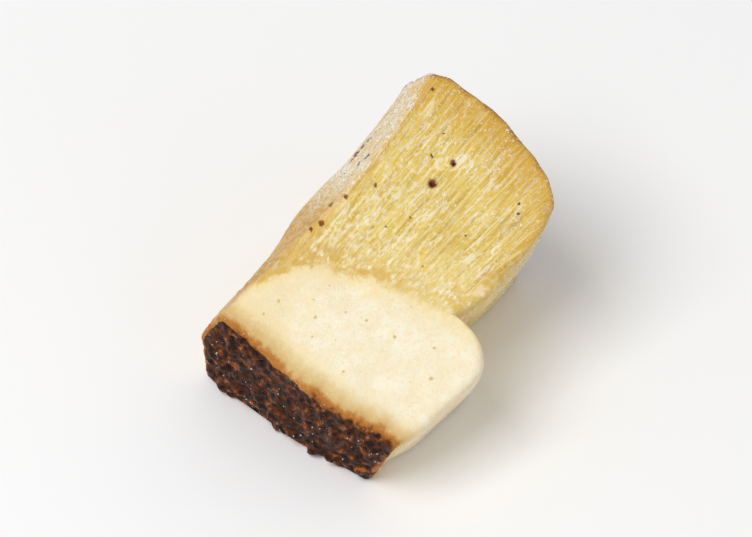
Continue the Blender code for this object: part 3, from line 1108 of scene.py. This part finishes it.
@dataclass(frozen=True)
class PorciniFinish:
    """The whole surface: flesh, tubes, skin and the frost that dusts them."""

    flesh: FleshFinish = FleshFinish()
    tubes: TubeFinish = TubeFinish()
    skin: SkinFinish = SkinFinish()
    root_glow: Colour = srgb(243, 219, 154)
    root_line: Colour = srgb(216, 176, 88)
    dry_tubes: Colour = srgb(226, 196, 144)
    dry_flesh: Colour = srgb(200, 154, 90)
    dry_pale: Colour = srgb(244, 226, 188)
    rime: Colour = srgb(252, 244, 226)
    fringe: float = 2.4
    low_fringe: float = 6.0
    fringe_noise: Pair = (0.9, 4.0)
    fray: float = 1.6
    fray_noise: Pair = (0.4, 3.0)
    glow: Step = ("from_root", -2.6, -0.4, 0, 0.55)
    rooted: Step = ("from_root", -0.8, 1)
    clouds: Clouds = (("line_patches", 1.2, 3, 0), ("dry_mottle", 0.7, 5, 0), ("gloss", 0.8, 3, 0))
    line: Coats = (
        (
            root_line, ("from_root", -0.8, 0.4), ("from_root", 0.6, 3.4, 1, 0),
            ("girth", -2, 6, 1, 0.2), ("line_patches", 0.38, 0.6, 0, 0.85),
        ),
    )
    upper_pale: Step = ("dry_mottle", 0.42, 0.58, 0, 0.9)
    lower_pale: Step = ("dry_mottle", 0.42, 0.58, 0, 0.36)
    lower: Step = ("height", -2, 4, 1, 0)
    dry_share: float = 0.8
    frost_shares: Place = (1.6, 0.3, 0.9)  # of its fine noise, its broad noise and its cover
    fine_frost: Pair = (0.26, 2.0)
    broad_frost: Pair = (1.3, 2.0)
    skin_clears: float = 0.3
    masks: Masks = (
        ("rime", ("frosted", 1.18, 1.5, 0, 0.85)),
        ("shine", ("skin",), ("gloss", 0.5, 0.62, 0.05, 0.42)),
    )
    roughness: float = 0.62
    rime_height: float = 0.6
    crust_height: float = 2.2
    crust_noise: Pair = (0.45, 6.0)
    surface_noise: Pair = (0.2, 5.0)
    surface_depth: float = 0.09

    def cuts(self, sheet: PorciniSheet) -> Value:
        """The cut walls: tubes over flesh with an ochre line at their roots, and paler on the dry cuts.

        Args:
            sheet: The material's nodes.

        Returns:
            The colour.
        """
        maps = sheet.maps
        fringe, fray = sheet.swing(*self.fringe_noise), sheet.swing(*self.fray_noise)
        sway = sheet.plus(sheet.times(fringe, self.fringe), sheet.times(fray, self.fray))
        maps["from_root"] = sheet.plus(maps["from_root"], sway)
        maps["height"] = sheet.plus(maps["along"], sheet.times(fringe, self.low_fringe))
        sheet.add_clouds(self.clouds)
        colour = sheet.coat(self.flesh.colour(sheet), self.root_glow, self.glow)
        colour = sheet.coats(sheet.coat(colour, self.tubes.colour(sheet), self.rooted), self.line)
        upper = sheet.coat(self.dry_tubes, self.dry_pale, self.upper_pale)
        lower = sheet.coat(self.dry_flesh, self.dry_pale, self.lower_pale)
        strip = sheet.coat(upper, lower, self.lower)
        return sheet.mix(colour, strip, sheet.times(maps["dry"], self.dry_share))

    def make(self) -> Material:
        """Makes the material.

        Returns:
            The material.
        """
        sheet = PorciniSheet()
        maps = sheet.maps
        colour = self.skin.over(sheet, self.tubes.rimmed(sheet, self.cuts(sheet)))
        frost = sheet.less(maps["frost"], sheet.times(maps["skin"], self.skin_clears))
        clouds = (sheet.cloud(*self.fine_frost), sheet.cloud(*self.broad_frost), frost)
        maps["frosted"] = sheet.plus(*map(sheet.times, clouds, self.frost_shares))
        sheet.add_masks(self.masks)
        colour = self.tubes.spotted(sheet, sheet.coat(colour, self.rime, ("rime",)))
        crust = sheet.times(sheet.cloud(*self.crust_noise), maps["skin"], self.crust_height)
        rime = sheet.times(maps["rime"], self.rime_height)
        height = sheet.plus(sheet.cloud(*self.surface_noise), rime, crust)
        inputs = {
            "Base Color": colour,
            "Roughness": sheet.less(self.roughness, maps["shine"]),
            "Normal": sheet.bump(height, self.surface_depth),
            "Subsurface Weight": 0.15,
            "Subsurface Radius": (1.0, 0.65, 0.35),
            "Subsurface Scale": 0.6 * MM,
            "Specular IOR Level": 0.18,
        }
        return sheet.finish(inputs)


@dataclass(frozen=True)
class FrostFinish:
    """Small white ice grains."""

    ice: Colour = srgb(254, 252, 246)
    shade: Colour = srgb(252, 246, 232)
    shade_noise: Pair = (1.2, 2.0)
    gloss_noise: Pair = (0.4, 2.0)
    gloss: tuple[float, ...] = (0.3, 0.7, 0.35, 0.6)
    surface_noise: Pair = (0.05, 2.0)
    surface_depth: float = 0.01

    def make(self) -> Material:
        """Makes the material.

        Returns:
            The material.
        """
        sheet = Sheet("frost")
        inputs = {
            "Base Color": sheet.mix(self.ice, self.shade, sheet.cloud(*self.shade_noise)),
            "Roughness": sheet.step(sheet.cloud(*self.gloss_noise), *self.gloss),
            "Normal": sheet.bump(sheet.cloud(*self.surface_noise), self.surface_depth),
            "IOR": 1.31,
            "Subsurface Weight": 1.0,
            "Subsurface Radius": (1.0, 1.0, 1.0),
            "Subsurface Scale": 0.3 * MM,
        }
        return sheet.finish(inputs)


@dataclass(frozen=True)
class FrostGrains:
    """Loose frost grains on one part of the piece: small lumps of eight faces, most near the least size."""

    name: str
    count: int
    largest: float
    smallest: float
    seed: int
    table_gap: float = 0.5
    raised: float = 0.2
    gathers: float = 1.5
    uneven: Pair = (0.5, 1.1)
    faces: tuple[tuple[int, int, int], ...] = (
        (0, 1, 2), (1, 3, 2), (3, 4, 2), (4, 0, 2), (1, 0, 5), (3, 1, 5), (4, 3, 5), (0, 4, 5),
    )

    def build(self, body: PorciniBody, chosen: Array) -> Object:
        """Scatters the grains by how thick the frost is.

        Args:
            body: The piece.
            chosen: Which of its triangles they lie on.

        Returns:
            The grains as one object.
        """
        rng, many = np.random.default_rng(self.seed), (self.count, 1)
        triangles = body.triangles[chosen]
        a, b, c = (body.form.world(body.places)[triangles[:, k]] for k in range(3))
        normal = np.cross(b - a, c - a)
        area = np.linalg.norm(normal, axis=1)
        weight = area * body.cover[triangles].mean(axis=1) ** self.gathers * (a[:, 2] > self.table_gap)
        picked = rng.choice(len(triangles), self.count, p=weight / weight.sum())
        share, part = np.sqrt(rng.random(many)), rng.random(many)
        spots = a[picked] * (1 - share) + b[picked] * share * (1 - part) + c[picked] * share * part
        size = self.smallest + (self.largest - self.smallest) * rng.random(many) ** 3
        spots += normal[picked] / area[picked, None] * size * self.raised
        corners = np.concatenate((np.eye(3), -np.eye(3)))
        shapes = corners * rng.uniform(*self.uneven, (self.count, len(corners), 1))
        turns = np.linalg.qr(rng.normal(size=(self.count, 3, 3)))[0]
        turns *= np.sign(np.linalg.det(turns))[:, None, None]
        grains = np.einsum("nij,nkj->nki", turns, shapes) * size[:, None] / 2 + spots[:, None]
        numbers = np.array(self.faces) + len(corners) * np.arange(self.count)[:, None, None]
        return add_mesh(self.name, grains.reshape(-1, 3) * MM, numbers.reshape(-1, 3).tolist())


@dataclass(frozen=True)
class Studio:
    """A pale floor, soft light and a long lens that looks down on the cut face. Its sizes are in metres."""

    floor_size: float = 3.0
    floor_colour: Colour = (0.96, 0.96, 0.96, 1.0)
    aim: Place = (0.0, -0.0015, 0.0135)
    elevation: float = math.radians(50)
    distance: float = 0.45
    lens: float = 200.0
    key: tuple[Place, float, float] = ((-0.35, -0.25, 0.75), 0.5, 4.35)  # its place, side and power
    fill: tuple[Place, float, float] = ((0.55, -0.5, 0.4), 0.6, 0.6)
    sky: float = 0.48

    def floor(self) -> None:
        """Lays the floor."""
        corners = np.array([(-1, -1, 0), (1, -1, 0), (1, 1, 0), (-1, 1, 0)]) * self.floor_size / 2
        floor = add_mesh("floor", corners, [[0, 1, 2, 3]])
        plain = {"Base Color": self.floor_colour, "Roughness": 0.9, "Specular IOR Level": 0.1}
        floor.data.materials.append(Sheet("floor").finish(plain))

    def face_piece(self, name: str, data: ID, place: Place | Vector) -> Object:
        """A light or camera that faces the piece.

        Args:
            name: Its name.
            data: Its data.
            place: Where it is.

        Returns:
            Its object.
        """
        thing = add_object(name, data)
        thing.location = place
        thing.rotation_euler = (Vector(self.aim) - Vector(place)).to_track_quat("-Z", "Y").to_euler()
        return thing

    def build(self) -> None:
        """Sets up the floor, lights, sky, camera and the plain colour response."""
        scene = bpy.context.scene
        self.floor()
        for name, (place, size, power) in (("key", self.key), ("fill", self.fill)):
            light = bpy.data.lights.new(name, "AREA")
            light.size, light.energy = size, power
            self.face_piece(name, light, place)
        world = bpy.data.worlds.new("sky")
        world.use_nodes = True
        background = world.node_tree.nodes["Background"]
        background.inputs["Color"].default_value = (1.0, 1.0, 1.0, 1.0)
        background.inputs["Strength"].default_value = self.sky
        scene.world = world
        scene.view_settings.view_transform = "Standard"
        camera = bpy.data.cameras.new("camera")
        camera.lens, camera.clip_start = self.lens, 0.01
        back = Vector((0.0, -math.cos(self.elevation), math.sin(self.elevation)))
        scene.camera = self.face_piece("camera", camera, Vector(self.aim) + back * self.distance)


def dress(piece: Object, material: Material) -> None:
    """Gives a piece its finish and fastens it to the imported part.

    Args:
        piece: The piece.
        material: Its finish.
    """
    piece.data.materials.append(material)
    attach(piece, "root")
    log.info("%s: %d points, %d faces", piece.name, len(piece.data.vertices), len(piece.data.polygons))


def main() -> None:
    """Builds the piece, its frost and the studio."""
    logging.basicConfig(level=logging.INFO, format="%(message)s")
    body = PorciniBody()
    piece = body.build()
    dress(piece, PorciniFinish().make())
    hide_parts(NODE)
    ice = FrostFinish().make()
    on_end = body.triangles.min(axis=1) >= body.wall_count
    for grains, chosen in (
        (FrostGrains("frost_on_walls", count=7000, largest=0.24, smallest=0.08, seed=21), ~on_end),
        (FrostGrains("frost_on_ends", count=3000, largest=0.28, smallest=0.08, seed=22), on_end),
    ):
        dress(grains.build(body, chosen), ice)
    Studio().build()


if __name__ == "__main__":
    main()
